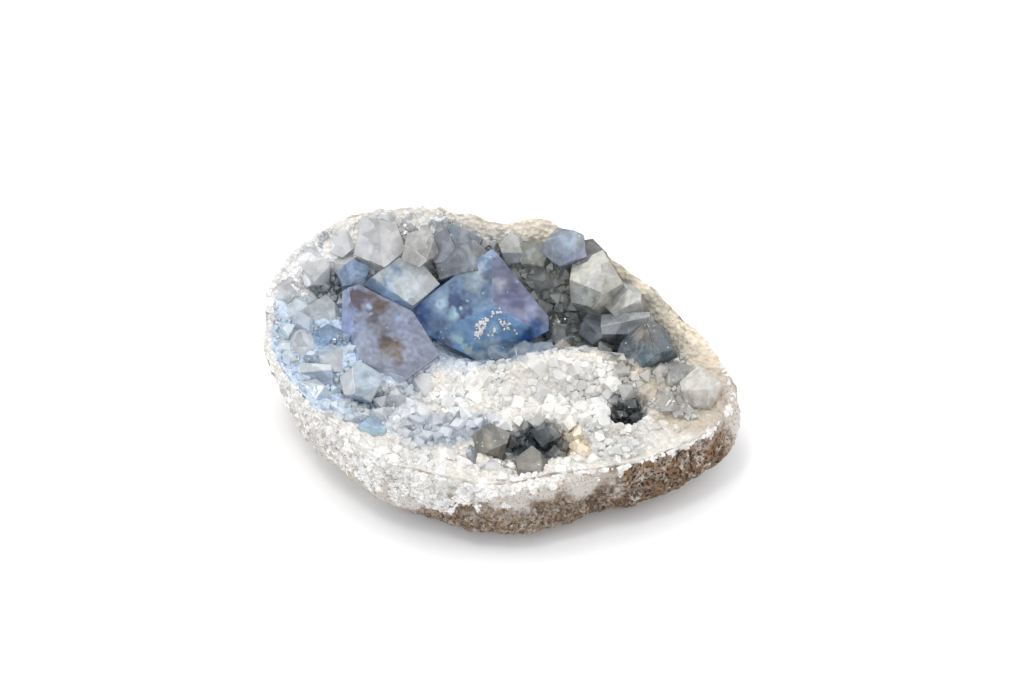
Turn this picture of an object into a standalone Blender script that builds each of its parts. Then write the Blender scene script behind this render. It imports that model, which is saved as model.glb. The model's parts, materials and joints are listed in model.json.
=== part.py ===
"""Celestite geode: half of a pale rock nodule, its hollow lined with a crust of sky-blue crystals.

Run it with blender --background --python part.py, or from Blender's text editor.
Blender's unit is the metre. The tables below are in millimetres and degrees, and MM turns them to metres.
+Z is up, +X to the right and +Y to the back. The flat spot that the geode rests on is at z = 0.
Angles round the geode start at +X and turn towards +Y.
"""

import math
import random
from collections import namedtuple

import bmesh
import bpy
from mathutils import Matrix, Vector, noise

MM = 0.001

# The nodule seen from above: its half width every 15 degrees, from the point below.
PLAN_CENTRE = (-0.1, 0.05)
HALF_WIDTHS = (
    62.5, 54.0, 47.5, 44.0, 42.5, 42.0, 40.0, 43.5, 48.0, 56.0, 63.0, 65.0,
    61.0, 55.0, 50.0, 48.0, 44.0, 41.5, 40.0, 39.8, 41.5, 47.5, 54.5, 62.5,
)
# The height of the broken rim every 15 degrees.
RIM_HEIGHTS = (
    22.0, 27.0, 32.0, 35.0, 38.0, 42.0, 41.0, 43.5, 45.5, 44.5, 41.0, 36.0,
    32.0, 28.0, 25.0, 23.0, 22.0, 20.0, 19.0, 20.0, 20.0, 20.0, 20.0, 20.0,
)
# The height at which the outer wall is widest, every 30 degrees, and the rim's width as a share of it.
WIDEST_HEIGHTS = (12.0, 18.0, 23.0, 25.0, 25.0, 26.0, 24.0, 17.0, 9.0, 7.0, 7.0, 9.0)
RIM_SHARES = (0.97, 0.985, 0.985, 0.975, 0.975, 0.99, 1.0, 0.96, 0.93, 0.92, 0.92, 0.94)
FLAT_SHARE = 0.46
ROUND_SEGMENTS = 48
INNER_RINGS = 11
WALL_RINGS = 4
UNDER_RINGS = 5
LUMPS = ((24.0, 3.2), (10.0, 1.5))

# The bed that the crystals grow from: a tilted floor with dishes (negative) and mounds in it.
# Each one has its middle (x, y), its half length and half width, its turn, and its rise.
FLOOR_HEIGHT = 21.0
FLOOR_SLOPE = 0.2
DISHES = (
    (-5.0, 18.0, 24.0, 17.0, 0.0, -10.0),
    (26.0, 19.0, 30.0, 15.0, -14.0, -14.0),
    (-38.0, 22.0, 18.0, 10.0, 10.0, -5.0),
    (9.0, -20.0, 17.0, 9.0, 4.0, -11.0),
    (33.0, -7.0, 9.0, 6.0, 20.0, -8.0),
    (19.0, 1.0, 32.0, 9.0, 0.0, 6.5),
    (-40.0, 5.0, 22.0, 15.0, 0.0, 5.0),
)
CRUST_THICKNESS = 3.0
CRUST_EDGE_THICKNESS = 1.0
CRUST_SHARE = 0.985
DEPTH_IN_ROCK = 3.0
GAP = 0.35
OUTSIDE = 15.0

# A crystal is a block cut by flat faces. Each face has the angle round the crystal's axis that it looks to,
# its lean from the axis (90 for a side), and its distance from the crystal's middle point.
# A crystal points along an azimuth and a rise above the horizon, and is turned about that way.
Crystal = namedtuple("Crystal", "x y z azimuth rise turn length faces")
CHISEL = ((0, 38, 0.35), (180, 38, 0.35), (52, 90, 0.8), (128, 90, 0.8), (232, 90, 0.8), (308, 90, 0.8))
BLUNT = (
    (20, 12, 0.5), (160, 40, 0.7), (285, 45, 0.8), (40, 90, 0.9), (100, 90, 0.8), (175, 90, 1.0), (240, 90, 0.9),
    (315, 90, 0.95))
SLAB = ((95, 22, 0.1), (265, 22, 0.1), (80, 90, 0.45), (260, 90, 0.45), (0, 90, 1.1), (180, 90, 0.9))


def sized(faces, size):
    """A set of faces at a size: a face at distance 1 in the set ends up that many millimetres away."""
    return tuple((look, lean, distance * size) for look, lean, distance in faces)


LARGE_CRYSTALS = (
    # The deep blue one in the middle of the hollow, the lilac one to its left and the pale one behind them.
    Crystal(-2.5, 19.0, 39.0, -90, 50, 2, 26, (
        (180, 16, 0.0), (0, 23, 0.0), (270, 37, 4.0), (90, 36, 3.6),
        (38, 90, 5.9), (124, 90, 7.6), (211, 90, 22.8), (242, 90, 20.3), (298, 90, 18.5), (0, 90, 14.8))),
    Crystal(-30.3, 8.0, 30.5, -90, 58, 0, 20, (
        (20, 9, 0.0), (186, 45, 7.6), (262, 38, 7.0), (30, 40, 7.0),
        (64, 90, 8.3), (32, 90, 8.6), (310, 90, 12.8), (270, 90, 13.4), (238, 90, 11.8), (180, 90, 12.9),
        (110, 90, 15.4))),
    Crystal(-26.6, 21.5, 36.8, -85, 58, 0, 16, (
        (20, 8, 0.0), (235, 45, 3.4), (75, 35, 3.6),
        (124, 90, 6.0), (68, 90, 6.0), (36, 90, 7.3), (307, 90, 6.8), (235, 90, 6.2))),
    # Along the back rim, from left to right.
    Crystal(-40.4, 25.0, 36.0, -80, 60, 20, 10, sized(BLUNT, 4.0)),
    Crystal(-33.0, 30.5, 42.5, -85, 55, 0, 14, (
        (0, 30, 2.0), (180, 25, 2.0), (15, 90, 6.0), (75, 90, 6.0), (165, 90, 6.5), (240, 90, 6.0), (310, 90, 6.0))),
    Crystal(-22.6, 29.5, 41.5, -80, 55, 60, 12, sized(BLUNT, 5.0)),
    Crystal(-13.5, 31.5, 41.5, -80, 50, 0, 12, (
        (20, 30, 1.5), (190, 20, 1.5), (270, 35, 3.0),
        (60, 90, 5.0), (120, 90, 4.5), (215, 90, 7.0), (315, 90, 6.0), (270, 90, 5.0))),
    Crystal(-8.1, 28.0, 41.5, -95, 62, 0, 14, (
        (10, 35, 2.0), (185, 28, 2.0), (59, 90, 2.8), (110, 90, 2.6), (200, 90, 10.5), (280, 90, 6.0),
        (345, 90, 9.0))),
    Crystal(8.5, 32.5, 37.0, -95, 55, 30, 10, sized(BLUNT, 4.2)),
    Crystal(17.2, 32.5, 38.4, -100, 55, 200, 12, sized(BLUNT, 5.6)),
    # Down the right bank.
    Crystal(24.8, 25.5, 32.6, -120, 60, 100, 14, sized(BLUNT, 7.2)),
    Crystal(32.8, 14.5, 27.8, -130, 62, 40, 12, sized(SLAB, 7.0)),
    Crystal(38.8, 7.0, 25.5, -140, 65, 250, 12, sized(BLUNT, 6.8)),
    Crystal(52.7, -5.5, 22.5, -150, 70, 150, 10, sized(BLUNT, 5.4)),
    # On the ledge in front and down the left bank.
    Crystal(-3.3, -20.0, 17.6, -60, 65, 0, 10, sized(BLUNT, 4.8)),
    Crystal(7.6, -29.5, 17.5, -90, 70, 90, 10, sized(BLUNT, 4.8)),
    Crystal(-37.7, -6.0, 25.6, -80, 65, 10, 10, sized(BLUNT, 5.2)),
    Crystal(-34.4, -20.0, 22.2, -70, 60, 70, 9, sized(CHISEL, 4.0)),
    Crystal(-41.5, -23.0, 20.5, -80, 60, 30, 9, sized(CHISEL, 4.4)),
    Crystal(-52.1, -4.0, 27.5, -95, 58, 8, 10, sized(SLAB, 6.2)),
)

# The smaller crystals stand upright on the bed, in patches. Each patch has its middle (x, y), its half length
# and half width, its turn, how many crystals are tried, their smallest and largest width, and their height
# as a share of the width.
PATCHES = (
    (-22.0, 33.0, 36.0, 9.0, 0.0, 70, 4.5, 8.0, 0.8),
    (40.0, 8.0, 32.0, 13.0, -38.0, 80, 4.5, 8.0, 0.7),
    (-44.0, 6.0, 24.0, 19.0, 60.0, 140, 3.8, 6.5, 0.8),
    (22.0, 18.0, 28.0, 13.0, -14.0, 90, 3.2, 5.5, 0.9),
    (12.0, 0.0, 46.0, 8.0, 0.0, 140, 3.2, 4.6, 0.8),
    (4.0, -22.0, 46.0, 14.0, 2.0, 160, 3.4, 6.0, 0.6),
)
CROWDING = 0.46
STEEPEST_SHARE = 0.93
SEED = 7


def around(table, angle):
    """The table's value at an angle, on a smooth closed curve through its entries."""
    place = (angle / math.tau) % 1.0 * len(table)
    first = int(place)
    t = place - first
    a, b, c, d = (table[(first + k) % len(table)] for k in (-1, 0, 1, 2))
    bend = 2 * a - 5 * b + 4 * c - d
    return b + 0.5 * t * (c - a + t * (bend + t * (3 * b - a - 3 * c + d)))


def rim_width(angle):
    """The rim's distance from the plan's centre."""
    return around(HALF_WIDTHS, angle) * around(RIM_SHARES, angle)


def plan_place(x, y):
    """The angle of a place on the plan, and its distance from the centre as a share of the rim's."""
    dx, dy = x - PLAN_CENTRE[0], y - PLAN_CENTRE[1]
    angle = math.atan2(dy, dx)
    return angle, math.hypot(dx, dy) / rim_width(angle)


def plan_point(angle, width):
    return PLAN_CENTRE[0] + width * math.cos(angle), PLAN_CENTRE[1] + width * math.sin(angle)


def in_patch(x, y, patch):
    """The place in the patch's own axes, as shares of its half length and half width."""
    middle_x, middle_y, half_length, half_width, turn = patch[:5]
    cos, sin = math.cos(math.radians(turn)), math.sin(math.radians(turn))
    dx, dy = x - middle_x, y - middle_y
    return (dx * cos + dy * sin) / half_length, (dy * cos - dx * sin) / half_width


def bed_height(x, y):
    """The height of the bed that the crystals stand on."""
    angle, share = plan_place(x, y)
    share = min(share, 1.0)
    floor = FLOOR_HEIGHT + FLOOR_SLOPE * y
    floor += (around(RIM_HEIGHTS, angle) - floor) * share**4
    dip = 0.0
    for dish in DISHES:
        along, across = in_patch(x, y, dish)
        dip += dish[5] * max(0.0, 1.0 - along * along - across * across) ** 2
    return floor + (1.0 - share**6) * dip


def bed_normal(x, y):
    step = 0.5
    slope_x = (bed_height(x + step, y) - bed_height(x - step, y)) / (2 * step)
    slope_y = (bed_height(x, y + step) - bed_height(x, y - step)) / (2 * step)
    return Vector((-slope_x, -slope_y, 1.0)).normalized()


def crust_thickness(share):
    """The crust thins out towards the rim."""
    return CRUST_EDGE_THICKNESS + (CRUST_THICKNESS - CRUST_EDGE_THICKNESS) * (1.0 - min(share, 1.0) ** 4)


def lumps(point, seed):
    """Rounded lumps on rock, as a distance in millimetres."""
    return sum(height * noise.noise(point / width + Vector((seed, 0.0, width))) for width, height in LUMPS)


def ring_solid(rings, place):
    """A closed body of rings round the plan's centre. place gives a point for an angle and a ring."""
    bm = bmesh.new()
    bmesh.ops.create_uvsphere(bm, u_segments=ROUND_SEGMENTS, v_segments=rings, radius=1.0)
    for vertex in bm.verts:
        ring = round(math.acos(max(-1.0, min(1.0, vertex.co.z))) / math.pi * rings)
        step = round(math.atan2(vertex.co.y, vertex.co.x) / math.tau * ROUND_SEGMENTS)
        vertex.co = place(step / ROUND_SEGMENTS * math.tau, ring)
    bmesh.ops.triangulate(bm, faces=bm.faces)
    bmesh.ops.recalc_face_normals(bm, faces=bm.faces)
    return bm


def ring_share(ring):
    """The rings of the hollow lie closer together towards the rim."""
    return math.sin(ring / INNER_RINGS * math.radians(75)) / math.sin(math.radians(75))


def rind_point(angle, ring):
    """The rock: its hollow from the middle out to the rim, then its wall down to the flat underside."""
    if ring <= INNER_RINGS:
        share = ring_share(ring)
        x, y = plan_point(angle, share * rim_width(angle))
        floor = bed_height(x, y) - crust_thickness(share)
        return Vector((x, y, floor + (around(RIM_HEIGHTS, angle) - floor) * share**20))
    half_width = around(HALF_WIDTHS, angle)
    widest = around(WIDEST_HEIGHTS, angle)
    ring -= INNER_RINGS
    if ring <= WALL_RINGS:
        turn = ring / WALL_RINGS * math.pi / 2
        width = rim_width(angle) + (half_width - rim_width(angle)) * math.sin(turn)
        height = widest + (around(RIM_HEIGHTS, angle) - widest) * math.cos(turn)
        fade = 1.0
    elif ring <= WALL_RINGS + UNDER_RINGS:
        turn = (ring - WALL_RINGS) / UNDER_RINGS * math.pi / 2
        width = half_width * (FLAT_SHARE + (1 - FLAT_SHARE) * math.cos(turn))
        height = widest * (1 - math.sin(turn))
        fade = min(1.0, height / 4.0)
    else:
        return Vector((*PLAN_CENTRE, 0.0))
    point = Vector((*plan_point(angle, width), height))
    out = Vector((math.cos(angle), math.sin(angle), (height - widest) / 40.0))
    return point + out * fade * lumps(point, 3.0)


def cutter_point(angle, ring):
    """The rock again, with its wall set outwards, so that what grows through the wall is cut off too."""
    point = rind_point(angle, ring)
    if ring > INNER_RINGS:
        point += Vector((math.cos(angle), math.sin(angle), 0.0)) * OUTSIDE
    return point


def crust_point(angle, ring):
    """The crust: its top is the bed, and its underside lies in the rock, where it is cut away."""
    above = ring <= INNER_RINGS
    share = min(CRUST_SHARE, ring_share(ring if above else 2 * INNER_RINGS - ring))
    x, y = plan_point(angle, share * rim_width(angle))
    depth = 0.0 if above else crust_thickness(share) + DEPTH_IN_ROCK
    return Vector((x, y, bed_height(x, y) - depth))


def face_normal(look, lean):
    look, lean = math.radians(look), math.radians(lean)
    return Vector((math.cos(look) * math.sin(lean), math.sin(look) * math.sin(lean), math.cos(lean)))


def crystal_into(bm, crystal, matrix):
    """Adds a crystal to a mesh: a block cut down to its faces, with its middle point where the matrix puts it."""
    block = bmesh.new()
    bmesh.ops.create_cube(block, size=4.0 * crystal.length)
    for look, lean, distance in ((0.0, 180.0, crystal.length), *crystal.faces):
        normal = face_normal(look, lean)
        everything = block.verts[:] + block.edges[:] + block.faces[:]
        cut = bmesh.ops.bisect_plane(
            block, geom=everything, dist=1e-4, plane_co=normal * distance, plane_no=normal, clear_outer=True)
        rim = [part for part in cut["geom_cut"] if isinstance(part, bmesh.types.BMEdge)]
        if len(rim) > 2:
            bmesh.ops.contextual_create(block, geom=rim)
    bmesh.ops.recalc_face_normals(block, faces=block.faces)
    bmesh.ops.transform(block, matrix=matrix, verts=block.verts)
    mesh = bpy.data.meshes.new("block")
    block.to_mesh(mesh)
    block.free()
    bm.from_mesh(mesh)
    bpy.data.meshes.remove(mesh)


def pointing(way, turn, place):
    """The matrix that turns a crystal's axis to a way, turns it about that way, and moves it to a place."""
    turned = way.to_track_quat("Z", "Y").to_matrix().to_4x4()
    return Matrix.Translation(place) @ turned @ Matrix.Rotation(math.radians(turn), 4, "Z")


def large_place(crystal):
    azimuth, rise = math.radians(crystal.azimuth), math.radians(crystal.rise)
    way = Vector((math.cos(azimuth) * math.cos(rise), math.sin(azimuth) * math.cos(rise), math.sin(rise)))
    return pointing(way, crystal.turn, Vector((crystal.x, crystal.y, crystal.z)))


def inside(crystal, point, margin):
    """Whether a point is within a large crystal, or within the margin of it."""
    own = large_place(crystal).inverted() @ point
    return all(face_normal(look, lean).dot(own) < distance + margin for look, lean, distance in crystal.faces)


def small_crystals(bm):
    """Scatters the smaller crystals over the bed, clear of the large ones and of each other's middles."""
    chance = random.Random(SEED)
    taken = []
    for patch in PATCHES:
        count, smallest, largest, tallness = patch[5:]
        turn = math.radians(patch[4])
        for _ in range(count):
            look, share = chance.uniform(0, math.tau), math.sqrt(chance.random())
            along, across = patch[2] * share * math.cos(look), patch[3] * share * math.sin(look)
            x = patch[0] + along * math.cos(turn) - across * math.sin(turn)
            y = patch[1] + along * math.sin(turn) + across * math.cos(turn)
            width = chance.uniform(smallest, largest)
            lean_x, lean_y, spin = chance.uniform(-0.45, 0.45), chance.uniform(-0.45, 0.45), chance.uniform(0, 360)
            tilts = chance.uniform(20, 42), chance.uniform(20, 42)
            place = Vector((x, y, bed_height(x, y)))
            if plan_place(x, y)[1] > STEEPEST_SHARE:
                continue
            if any(math.hypot(x - a, y - b) < CROWDING * (width + other) for a, b, other in taken):
                continue
            if any(inside(crystal, place, 0.25 * width) for crystal in LARGE_CRYSTALS):
                continue
            taken.append((x, y, width))
            height = width * tallness * 0.6
            faces = (
                (0, tilts[0], height), (180, tilts[1], height),
                (52, 90, width * 0.5), (128, 90, width * 0.52), (232, 90, width * 0.5), (308, 90, width * 0.45))
            way = (bed_normal(x, y) + Vector((lean_x, lean_y, 0.3))).normalized()
            crystal_into(bm, Crystal(x, y, 0, 0, 0, 0, 2.6, faces), pointing(way, spin, place))


def add_object(name, bm, collection):
    """Puts a mesh in metres into the scene under a name."""
    bmesh.ops.scale(bm, vec=(MM, MM, MM), verts=bm.verts)
    mesh = bpy.data.meshes.new(name)
    bm.to_mesh(mesh)
    bm.free()
    body = bpy.data.objects.new(name, mesh)
    collection.objects.link(body)
    return body


def add_collection(name):
    collection = bpy.data.collections.new(name)
    bpy.context.scene.collection.children.link(collection)
    return collection


def add_material(body, red, green, blue, roughness):
    material = bpy.data.materials.new(body.name)
    material.use_nodes = True
    shader = material.node_tree.nodes["Principled BSDF"]
    shader.inputs["Base Color"].default_value = (red, green, blue, 1.0)
    shader.inputs["Roughness"].default_value = roughness
    body.data.materials.append(material)


def add_boolean(body, name, operation, other):
    modifier = body.modifiers.new(name, "BOOLEAN")
    modifier.operation = operation
    modifier.solver = "EXACT"
    modifier.use_self = True
    modifier.object = other


def hide(body):
    body.hide_render = True
    body.display_type = "WIRE"


def main():
    for body in list(bpy.data.objects):
        bpy.data.objects.remove(body, do_unlink=True)
    geode = add_collection("celestite geode")
    cutters = add_collection("cutters")
    rind_rings = INNER_RINGS + WALL_RINGS + UNDER_RINGS + 1

    rind = add_object("rind", ring_solid(rind_rings, rind_point), geode)
    add_material(rind, 0.72, 0.63, 0.50, 0.9)

    swollen = ring_solid(rind_rings, cutter_point)
    for vertex in swollen.verts:
        vertex.normal_update()
    moves = [(vertex, vertex.normal * vertex.calc_shell_factor() * GAP) for vertex in swollen.verts]
    for vertex, move in moves:
        vertex.co += move
    rock_cutter = add_object("rock_cutter", swollen, cutters)
    hide(rock_cutter)

    crystals = bmesh.new()
    for crystal in LARGE_CRYSTALS:
        crystal_into(crystals, crystal, large_place(crystal))
    small_crystals(crystals)
    grown = add_object("grown_crystals", crystals, cutters)
    hide(grown)

    crust = add_object("crystal_crust", ring_solid(2 * INNER_RINGS, crust_point), geode)
    add_material(crust, 0.62, 0.74, 0.86, 0.25)
    add_boolean(crust, "grow crystals", "UNION", grown)
    add_boolean(crust, "sit on the rock", "DIFFERENCE", rock_cutter)


main()
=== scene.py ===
"""Celestite geode: a rough rock nodule half whose hollow is lined with sky-blue and milky crystals."""

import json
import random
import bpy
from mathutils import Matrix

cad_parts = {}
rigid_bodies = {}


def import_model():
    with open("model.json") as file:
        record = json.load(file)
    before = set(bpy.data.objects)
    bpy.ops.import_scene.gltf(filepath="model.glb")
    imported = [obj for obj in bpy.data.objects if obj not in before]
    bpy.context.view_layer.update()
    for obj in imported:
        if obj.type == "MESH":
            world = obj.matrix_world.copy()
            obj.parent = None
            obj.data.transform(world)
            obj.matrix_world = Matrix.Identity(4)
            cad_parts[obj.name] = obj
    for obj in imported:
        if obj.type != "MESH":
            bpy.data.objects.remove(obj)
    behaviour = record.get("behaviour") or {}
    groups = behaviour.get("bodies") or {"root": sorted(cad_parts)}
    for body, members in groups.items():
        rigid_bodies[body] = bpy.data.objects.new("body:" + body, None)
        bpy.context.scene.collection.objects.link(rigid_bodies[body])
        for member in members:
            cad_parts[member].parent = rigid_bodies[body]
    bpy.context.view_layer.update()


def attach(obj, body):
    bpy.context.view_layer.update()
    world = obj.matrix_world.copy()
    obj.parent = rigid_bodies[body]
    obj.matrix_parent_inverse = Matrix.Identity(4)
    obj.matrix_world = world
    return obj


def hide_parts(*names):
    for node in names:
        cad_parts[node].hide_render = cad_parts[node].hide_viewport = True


bl_info = {
    "name": "Celestite Geode",
    "version": (1, 0, 0),
    "blender": (4, 5, 0),
    "location": "3D View > Sidebar > Geode",
    "description": "Builds a celestite geode: its rock, its druse, its crystals and the stage it is shown on",
    "category": "Object",
}

from collections import namedtuple
from math import acos, atan2, cos, degrees, hypot, pi, radians, sin, sqrt, tau

import bmesh
import bpy
from bpy.props import FloatProperty, FloatVectorProperty, IntProperty, PointerProperty
from mathutils import Matrix, Vector, noise

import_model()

MM = 0.001
UP = Vector((0.0, 0.0, 1.0))

# The nodule seen from above: its half width every 15 degrees from +X, round the plan's centre.
PLAN_CENTRE = (-0.1, 0.05)
HALF_WIDTHS = (
    62.5, 54, 47.5, 44, 42.5, 42, 40, 43.5, 48, 56, 63, 65,
    61, 55, 50, 48, 44, 41.5, 40, 39.8, 41.5, 47.5, 54.5, 62.5,
)
# The height of the broken rim every 15 degrees.
RIM_HEIGHTS = (
    22, 27, 32, 35, 38, 42, 41, 43.5, 45.5, 44.5, 41, 36,
    32, 28, 25, 23, 22, 20, 19, 20, 20, 20, 20, 20,
)
# The height at which the wall is widest, every 30 degrees, and the rim's width as a share of it.
WIDEST_HEIGHTS = (12, 18, 23, 25, 25, 26, 24, 17, 9, 7, 7, 9)
RIM_SHARES = (0.97, 0.985, 0.985, 0.975, 0.975, 0.99, 1.0, 0.96, 0.93, 0.92, 0.92, 0.94)
FLAT_SHARE = 0.46
LUMPS = ((24.0, 3.2), (10.0, 1.5))
ROUGHNESS_OF_WALL = ((4.5, 1.0), (2.2, 0.8), (1.2, 0.4))

# The bed that the crystals stand on: a sloping floor with dishes (negative) and mounds in it.
# Each has its middle (x, y), its half length and half width, its turn, and its rise.
FLOOR_HEIGHT = 21.0
FLOOR_SLOPE = 0.2
DISHES = (
    (-5, 18, 24, 17, 0, -10),
    (26, 19, 30, 15, -14, -14),
    (-38, 22, 18, 10, 10, -5),
    (9, -20, 17, 9, 4, -11),
    (33.5, -10, 8, 6, 20, -8),
    (19, 1, 32, 9, 0, 6.5),
    (-40, 5, 22, 15, 0, 5),
)

# A crystal is a block cut by flat faces. Each face has the angle round the crystal's axis that it looks to,
# its lean from the axis (90 for a side), and its distance from the crystal's middle point.
# A crystal points along an azimuth and a rise above the horizon, and is turned about that way.
# Its colour is its body's, and tints gives some of its faces, by their number, a colour of their own.
Crystal = namedtuple("Crystal", "kind colour x y z azimuth rise turn length faces tints", defaults=({},))
CHISEL = ((0, 38, 0.35), (180, 38, 0.35), (52, 90, 0.8), (128, 90, 0.8), (232, 90, 0.8), (308, 90, 0.8))
BLUNT = (
    (20, 12, 0.5), (160, 40, 0.7), (285, 45, 0.8),
    (40, 90, 0.9), (100, 90, 0.8), (175, 90, 1.0), (240, 90, 0.9), (315, 90, 0.95))
SLAB = ((95, 22, 0.1), (265, 22, 0.1), (80, 90, 0.45), (260, 90, 0.45), (0, 90, 1.1), (180, 90, 0.9))


def shaped(colour, x, y, z, azimuth, rise, turn, length, shape, size, kind="clear"):
    """A crystal of a common shape. A face at distance 1 in the shape ends up size millimetres away."""
    faces = tuple((look, lean, distance * size) for look, lean, distance in shape)
    return Crystal(kind, colour, x, y, z, azimuth, rise, turn, length, faces)


# The crystals of the common shapes, with what the function above takes.
SHAPED_CRYSTALS = (
    # At the right of the back rim.
    ("#a4a498", 8.5, 32.5, 37, -95, 55, 30, 10, BLUNT, 4.2),
    ("#848f9e", 17.2, 32.5, 38.4, -100, 55, 200, 12, BLUNT, 5.6),
    # Down the right bank.
    ("#c2bfb2", 24.8, 25.5, 32.6, -120, 60, 100, 14, BLUNT, 7.2),
    ("#a0a5a8", 32.8, 14.5, 27.8, -130, 62, 40, 12, SLAB, 7),
    ("#4c5a62", 38.8, 7, 25.5, -140, 65, 250, 12, BLUNT, 6.8),
    ("#ded8cc", 52.7, -5.5, 22.5, -150, 70, 150, 10, BLUNT, 5.4),
    # On the ledge in front and down the left bank.
    ("#858278", -3.3, -20, 17.6, -60, 65, 0, 10, BLUNT, 4.8),
    ("#6e6c64", 7.6, -29.5, 17.5, -90, 70, 90, 10, BLUNT, 4.8),
    ("#d2e4f6", -37.7, -6, 25.6, -80, 65, 10, 10, BLUNT, 5.2),
    ("#b0ccea", -34.4, -20, 22.2, -70, 60, 70, 9, CHISEL, 4),
    ("#9ec2ea", -41.5, -23, 20.5, -80, 60, 30, 9, CHISEL, 4.4),
    ("#c2d0ea", -52.1, -4, 27.5, -95, 58, 8, 10, SLAB, 6.2),
    # Smaller ones, at the back left, on the left bank, along the ridge, on the ledge and at the back right.
    ("#f0f2ef", -52.5, 27.5, 35, -70, 60, 30, 8, BLUNT, 5.8),
    ("#eceef0", -42.8, 31, 35, -80, 60, 80, 8, BLUNT, 4.2),
    ("#fbf9f5", -43.8, 34.5, 38.5, -80, 60, 200, 8, BLUNT, 4.6, "frosted"),
    ("#e6e9f2", -60, 19, 34.5, -100, 65, 10, 6, BLUNT, 4),
    ("#dff0fa", -56.5, 15.5, 31.5, -70, 65, 120, 7, BLUNT, 4.4),
    ("#e2ecef", -48.9, 16, 28, -60, 65, 60, 8, BLUNT, 5.4),
    # This crystal's blue is darkened as painted blue shade.
    ("#8da6c0", -47, 8, 27.5, -80, 60, 20, 7, BLUNT, 4.4),
    ("#cfe2f6", -50.5, -10.5, 25, -80, 65, 150, 7, BLUNT, 4.6),
    ("#dceaf8", -54.3, 4.5, 28.5, -90, 60, 220, 7, BLUNT, 4.6),
    ("#cfe2f8", -45.5, 1.5, 27, -70, 60, 300, 7, BLUNT, 4.2),
    ("#7088a0", 5.8, 6, 22.4, -80, 60, 15, 9, BLUNT, 5),
    ("#cfcdc6", 21, 5, 26, -95, 75, 10, 7, SLAB, 4.4),
    ("#c9c8c2", 28, 3.8, 25.5, -80, 75, -10, 7, SLAB, 4.6),
    ("#b5ab9b", 14.5, 8, 23, -60, 70, 25, 7, SLAB, 4.2),
    ("#9aa0a6", -7.4, -26, 16, -80, 60, 5, 7, CHISEL, 4.4),
    ("#c2c6ca", -17.5, -28, 16.5, -100, 60, 40, 7, CHISEL, 3.6),
    ("#e2e2e2", -2.5, -31, 16, -80, 60, 90, 7, BLUNT, 3.8),
    ("#7f7d75", 3.4, -28.6, 16, -90, 70, 190, 7, BLUNT, 3.8),
    ("#a6b1bc", 26.5, 21.5, 19.5, -110, 65, 70, 8, BLUNT, 5.2),
    ("#d3d3cb", 33.5, 21.5, 28, -120, 60, 150, 8, BLUNT, 5.6),
    ("#aaaca8", 2.7, 34.2, 36.5, -90, 60, 100, 7, BLUNT, 4),
    ("#777674", 23.2, 32.6, 36, -110, 60, 20, 7, BLUNT, 4.6),
    ("#bdbdb8", 41, -4, 19, -120, 65, 280, 7, BLUNT, 3.8),
    ("#b4b6b3", 46.8, 0.5, 21.5, -120, 65, 45, 7, BLUNT, 4.2),
    ("#64809c", 0.5, 6.4, 22.4, -100, 55, 65, 10, CHISEL, 5.2),
    ("#8294a6", 11, 6.8, 23, -70, 60, -25, 9, BLUNT, 4.2),
    ("#d7dce2", -21, -2, 20, -90, 65, 45, 7, BLUNT, 4),
)
LARGE_CRYSTALS = (
    # The deep blue one in the middle of the hollow, the lilac one to its left and the pale one behind them.
    Crystal("blue", "#5b7ba6", -2.5, 19, 39, -90, 50, 2, 16, (
        (180, 16, 0), (0, 23, 0), (270, 37, 4), (90, 36, 3.6),
        (38, 90, 5.9), (124, 90, 7.6), (211, 90, 22.8), (242, 90, 20.3), (298, 90, 18.5), (0, 90, 14.8)),
        {0: "#6a86a8", 1: "#7b82a0", 2: "#6b98c8"}),
    Crystal("veiled", "#8a90a4", -30.3, 8, 30.5, -90, 58, 0, 20, (
        (20, 9, 0), (186, 45, 7.6), (262, 38, 7), (30, 40, 7),
        (64, 90, 8.3), (32, 90, 8.6), (310, 90, 12.8), (270, 90, 13.4), (238, 90, 11.8), (180, 90, 12.9),
        (110, 90, 15.4)),
        {1: "#9fb0d2", 2: "#b9c4d2"}),
    Crystal("clear", "#dbe6ec", -26.6, 21.5, 36.8, -85, 58, 0, 16, (
        (20, 8, 0), (235, 45, 3.4), (75, 35, 3.6),
        (124, 90, 6), (68, 90, 6), (36, 90, 7.3), (307, 90, 6.8), (235, 90, 6.2)),
        {1: "#7e98b8"}),
    # The left and the middle of the back rim.
    shaped("#8fa8cc", -40.4, 25, 36, -80, 60, 20, 10, BLUNT, 4),
    Crystal("clear", "#eef1f6", -33, 30.5, 42.5, -85, 55, 0, 14, (
        (0, 30, 2), (180, 25, 2),
        (15, 90, 6), (75, 90, 6), (165, 90, 6.5), (240, 90, 6), (310, 90, 6))),
    shaped("#d3d1cc", -22.6, 29.5, 41.5, -80, 55, 60, 12, BLUNT, 5),
    Crystal("clear", "#7c8da2", -13.5, 31.5, 41.5, -80, 50, 0, 12, (
        (20, 30, 1.5), (190, 20, 1.5), (270, 35, 3),
        (60, 90, 5), (120, 90, 4.5), (215, 90, 7), (315, 90, 6), (270, 90, 5)),
        {0: "#58728c", 1: "#7e818c"}),
    Crystal("clear", "#6a7078", -8.1, 28, 41.5, -95, 62, 0, 14, (
        (10, 35, 2), (185, 28, 2), (59, 90, 2.8), (110, 90, 2.6), (200, 90, 10.5), (280, 90, 6),
        (345, 90, 9))),
    *(shaped(*row) for row in SHAPED_CRYSTALS),
)
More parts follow.
